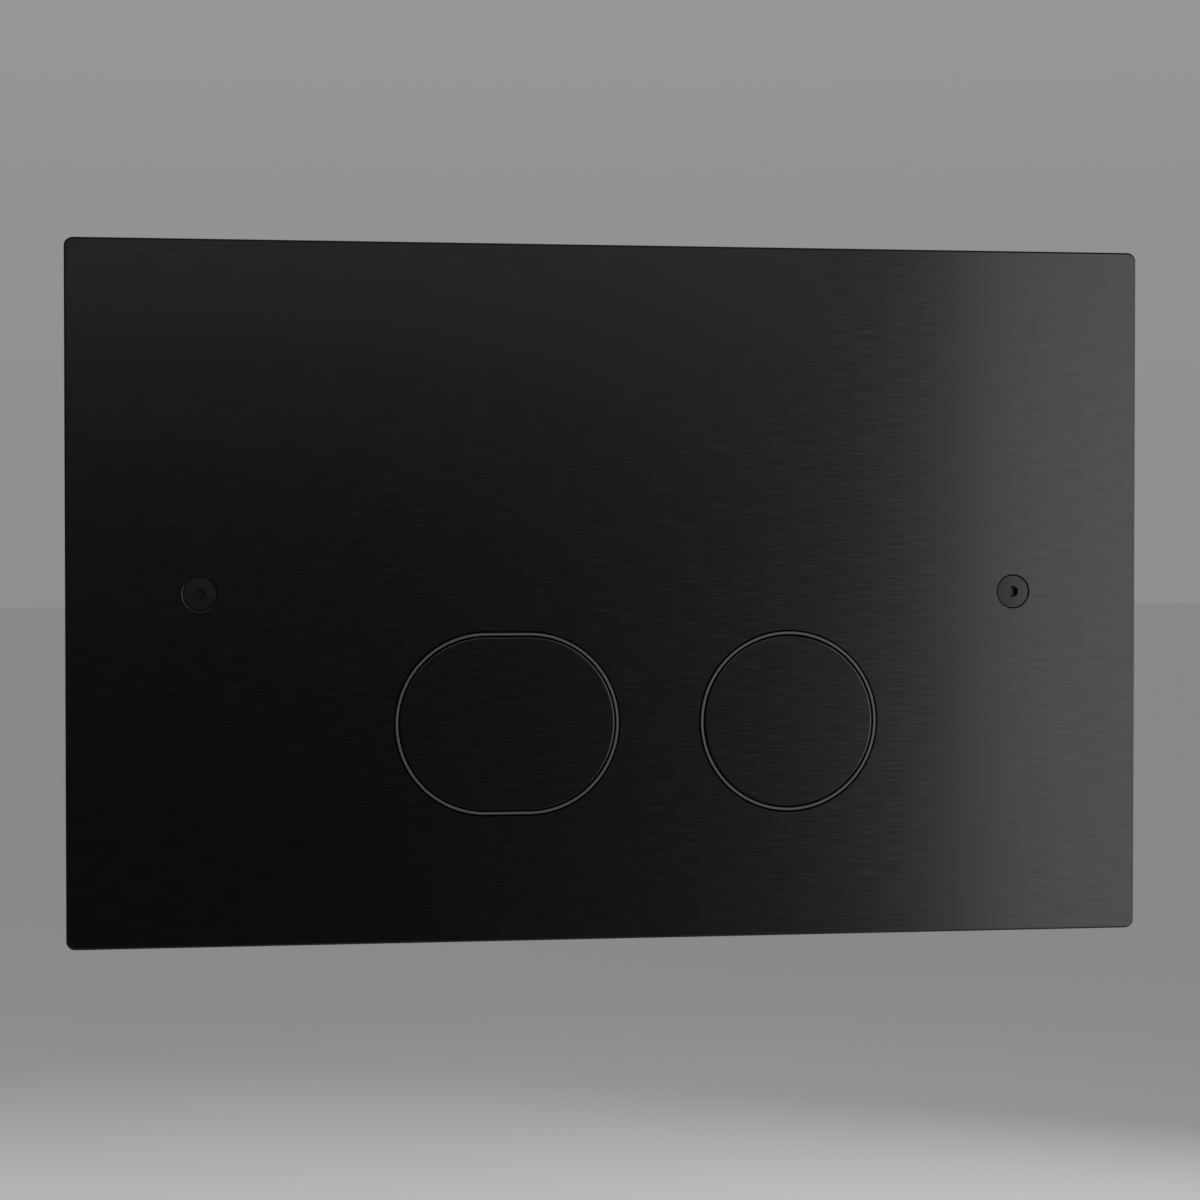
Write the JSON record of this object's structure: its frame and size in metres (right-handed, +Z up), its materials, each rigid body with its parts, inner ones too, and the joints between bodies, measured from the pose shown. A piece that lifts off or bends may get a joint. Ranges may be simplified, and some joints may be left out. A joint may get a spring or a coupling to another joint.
{
  "type": "flush button plate",
  "caption": "Flat rectangular dual-flush plate in black brushed metal, with an oblong and a round flush button, socket screws and a sprung push-rod frame behind",
  "frame": {"origin": "middle of the plate in the plane of the finished wall, which the gasket's back lies on", "axes": "+X to the right as a user sees the plate, +Y into the wall, +Z up"},
  "size_m": [0.25, 0.0775, 0.16],
  "materials": {
    "black_brushed_plate": "satin",
    "black_screw": "satin",
    "guide_ring_plastic": "satin",
    "frame_plastic": "matte",
    "carrier_plastic": "matte",
    "bush_plastic": "satin",
    "gasket_foam": "matte",
    "black_rubber": "matte",
    "zinc_steel": "satin",
    "pin_steel": "polished",
    "spring_steel": "polished",
    "brass_insert": "satin"
  },
  "bodies": {
    "plate_unit": {"front_plate": "black_brushed_plate", "wall_gasket": "gasket_foam", "plate_screws": "black_screw", "frame_inserts": "brass_insert", "mounting_frame": "frame_plastic", "fixing_studs": "zinc_steel", "fixing_washers": "zinc_steel", "fixing_nuts": "zinc_steel", "full_flush_guide_ring": "guide_ring_plastic", "full_flush_guide_bushes": "bush_plastic", "full_flush_return_springs": "spring_steel", "full_flush_stop_pad": "black_rubber", "half_flush_guide_ring": "guide_ring_plastic", "half_flush_guide_bushes": "bush_plastic", "half_flush_return_springs": "spring_steel", "half_flush_stop_pad": "black_rubber"},
    "full_flush_unit": {"full_flush_button": "black_brushed_plate", "full_flush_carrier": "carrier_plastic", "full_flush_button_screws": "zinc_steel", "full_flush_guide_pins": "pin_steel", "full_flush_pin_clips": "spring_steel", "full_flush_push_rod": "zinc_steel", "full_flush_lock_nut": "zinc_steel", "full_flush_rod_cap": "black_rubber"},
    "half_flush_unit": {"half_flush_button": "black_brushed_plate", "half_flush_carrier": "carrier_plastic", "half_flush_button_screws": "zinc_steel", "half_flush_guide_pins": "pin_steel", "half_flush_pin_clips": "spring_steel", "half_flush_push_rod": "zinc_steel", "half_flush_lock_nut": "zinc_steel", "half_flush_rod_cap": "black_rubber"}
  },
  "joints": [
    {"name": "full_flush_press", "type": "slide", "parent": "plate_unit", "child": "full_flush_unit", "axis": [0, 1, 0], "range_m": [0, 0.006], "stiffness_N_per_m": 600, "springref_m": -0.006, "deforming": ["full_flush_return_springs"]},
    {"name": "half_flush_press", "type": "slide", "parent": "plate_unit", "child": "half_flush_unit", "axis": [0, 1, 0], "range_m": [0, 0.006], "stiffness_N_per_m": 600, "springref_m": -0.006, "deforming": ["half_flush_return_springs"]}
  ]
}
